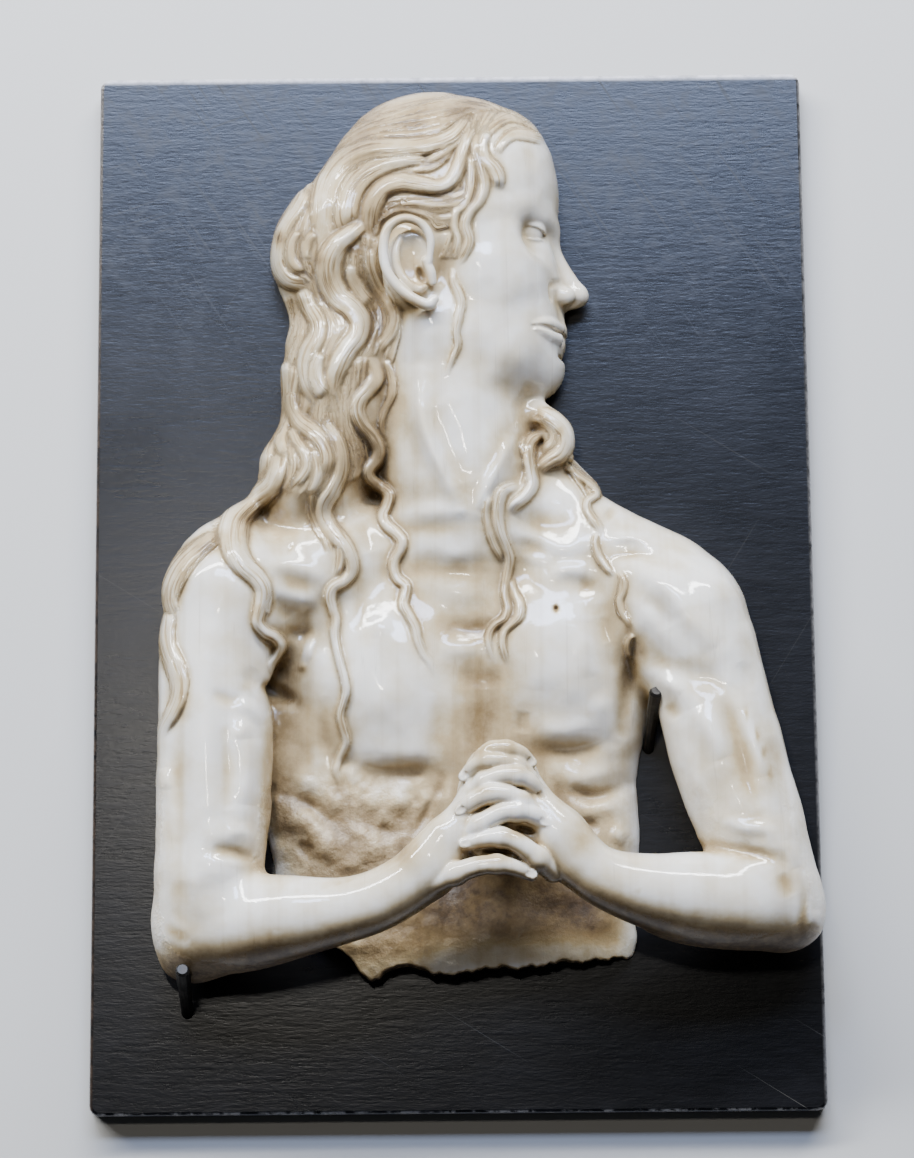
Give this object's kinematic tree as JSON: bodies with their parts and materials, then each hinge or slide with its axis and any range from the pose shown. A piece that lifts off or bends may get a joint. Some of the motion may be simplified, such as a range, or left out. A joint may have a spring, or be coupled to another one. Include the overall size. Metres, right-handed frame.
{
  "type": "ivory relief plaque",
  "caption": "Carved ivory half figure in relief, head in profile with long wavy hair and clasped hands, held by pegs on a dark wooden board.",
  "frame": {"origin": "middle of the board's back face", "axes": "+X to the right across the board, +Y up the board towards the head, +Z out of its face"},
  "size_m": [0.124, 0.182, 0.0337],
  "materials": {
    "ivory": "hand-polished ivory, creamy white with brown patina in the recesses",
    "stained_wood": "black-stained fine-grained wood, waxed satin, worn at the edges",
    "pin_metal": "darkened metal"
  },
  "bodies": {
    "root": {"ivory_figure": "ivory", "backing_board": "stained_wood", "elbow_pin": "pin_metal", "armpit_pin": "pin_metal"}
  },
  "joints": []
}
